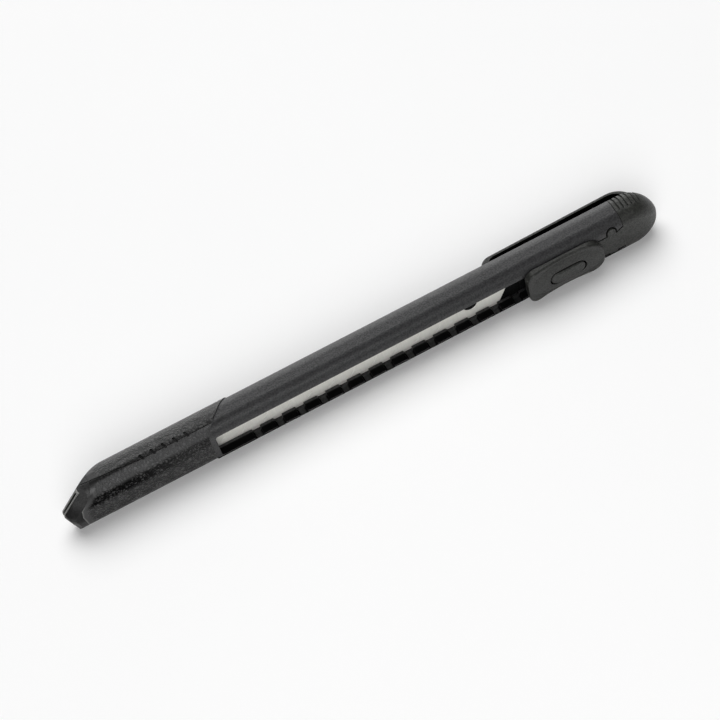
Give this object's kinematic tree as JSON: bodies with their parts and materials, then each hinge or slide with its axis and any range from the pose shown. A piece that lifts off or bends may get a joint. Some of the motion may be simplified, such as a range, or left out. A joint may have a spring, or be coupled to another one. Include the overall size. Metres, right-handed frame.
{
  "type": "snap-off utility knife",
  "caption": "Slim snap-off utility knife: slotted barrel with a rack, grained grip, folded steel nose guide, locking thumb slide with push button, domed end plug and pocket clip.",
  "frame": {"origin": "middle of the bounding box, on the lowest face: the flat along the grip's lower side", "axes": "+X from the nose to the rear dome, +Y from the thumb slide to the pocket clip, +Z from the blade's cutting edge to its spine"},
  "size_m": [0.1366, 0.012, 0.0117],
  "materials": {
    "barrel_plastic": "fine satin moulding",
    "grip_rubber": "leather-grained, matt",
    "nose_plastic": "smooth satin",
    "guide_steel": "rolled sheet, bright cut edges",
    "blade_steel": "oiled carbon steel",
    "carrier_plastic": "plain moulding",
    "slide_plastic": "satin moulding",
    "button_plastic": "satin moulding",
    "spring_steel": "rolled sheet",
    "plug_plastic": "satin moulding",
    "clip_plastic": "satin moulding"
  },
  "bodies": {
    "handle": {"handle_tube": "barrel_plastic", "grip_sleeve": "grip_rubber", "nose_tip": "nose_plastic", "nose_guide": "guide_steel"},
    "slider": {"blade_carrier": "carrier_plastic", "slider_knob": "slide_plastic", "blade": "blade_steel", "lock_spring": "spring_steel"},
    "button": {"release_button": "button_plastic"},
    "plug": {"end_plug": "plug_plastic", "latch_tongue": "plug_plastic"},
    "clip": {"pocket_clip": "clip_plastic"}
  },
  "joints": [
    {"name": "blade_slide", "type": "slide", "parent": "handle", "child": "slider", "axis": [-1, 0, 0], "range_m": [0, 0.07], "deforming": ["lock_spring"]},
    {"name": "button_press", "type": "slide", "parent": "slider", "child": "button", "axis": [0, 1, 0], "range_m": [0, 0.001], "stiffness_N_per_m": 400, "deforming": ["lock_spring"]},
    {"name": "plug_pull", "type": "slide", "parent": "handle", "child": "plug", "axis": [1, 0, 0], "range_m": [0, 0.03], "deforming": ["latch_tongue"]},
    {"name": "clip_flex", "type": "hinge", "parent": "plug", "child": "clip", "pos_m": [0.06438, 0.00252, 0.00585], "axis": [0, 0, -1], "range_deg": [0, 4], "stiffness_Nm_per_rad": 2}
  ]
}
